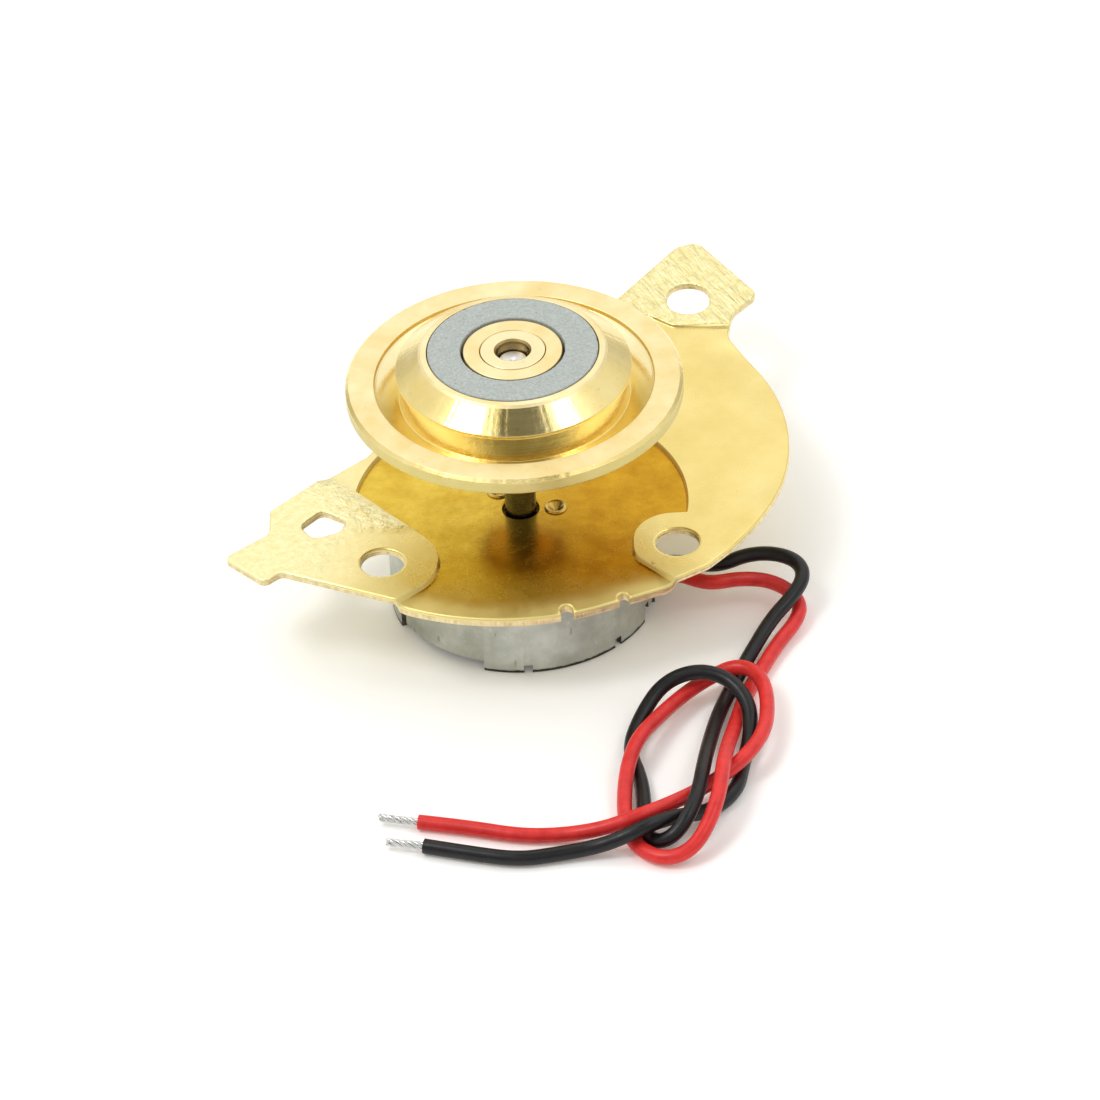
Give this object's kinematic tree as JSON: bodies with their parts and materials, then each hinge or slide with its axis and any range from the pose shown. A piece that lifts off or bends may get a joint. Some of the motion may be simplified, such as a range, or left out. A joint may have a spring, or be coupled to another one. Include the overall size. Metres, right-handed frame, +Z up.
{
  "type": "disc drive spindle motor",
  "caption": "Flat brushed spindle motor in a steel can under an eared mounting plate, with a brass disc turntable, centring cone and ring magnet on its shaft and two knotted leads.",
  "frame": {"origin": "on the shaft axis, on the flat bottom face of the end cap's boss, which is flush with the foot of the can", "axes": "+Z up along the shaft towards the turntable, +Y towards the plate's long slotted ear, +X towards the side where the leads leave the can"},
  "size_m": [0.0371, 0.0558, 0.0193],
  "materials": {
    "plate_gold": "yellow passivated zinc plate, satin, with coined areas",
    "can_steel": "zinc plated drawn steel, dull",
    "table_brass": "fine turned satin",
    "sleeve_brass": "fine turned satin",
    "shaft_steel": "ground",
    "ferrite": "sintered, matt",
    "cap_plastic": "moulded",
    "bush_bronze": "sintered, oil filled",
    "core_steel": "stacked laminations",
    "winding_copper": "enamelled wire",
    "hub_plastic": "moulded phenolic",
    "bar_copper": "turned",
    "varistor_ceramic": "fired, matt",
    "washer_plastic": "moulded",
    "spring_brass": "rolled strip",
    "solder_tin": "solidified bead",
    "red_pvc": "extruded insulation",
    "black_pvc": "extruded insulation",
    "tinned_wire": "twisted and tinned strands"
  },
  "bodies": {
    "motor_body": {"mounting_plate": "plate_gold", "stake_rivets": "plate_gold", "motor_can": "can_steel", "end_cap": "cap_plastic", "upper_bush": "bush_bronze", "lower_bush": "bush_bronze", "thrust_plate": "washer_plastic", "stator_magnet_front": "ferrite", "stator_magnet_back": "ferrite", "red_terminal": "spring_brass", "black_terminal": "spring_brass", "red_brush": "spring_brass", "black_brush": "spring_brass", "red_solder_joint": "solder_tin", "black_solder_joint": "solder_tin", "red_lead": "red_pvc", "black_lead": "black_pvc", "red_strands": "tinned_wire", "black_strands": "tinned_wire"},
    "spindle": {"shaft": "shaft_steel", "hub_sleeve": "sleeve_brass", "turntable": "table_brass", "ring_magnet": "ferrite", "rotor_core": "core_steel", "coil_a": "winding_copper", "coil_b": "winding_copper", "coil_c": "winding_copper", "commutator_hub": "hub_plastic", "commutator_bars": "bar_copper", "varistor_ring": "varistor_ceramic", "upper_washer": "washer_plastic", "lower_washer": "washer_plastic"}
  },
  "joints": [
    {"name": "spindle_spin", "type": "hinge", "parent": "motor_body", "child": "spindle", "pos_m": [0, 0, 0], "axis": [0, 0, 1], "continuous": true}
  ]
}
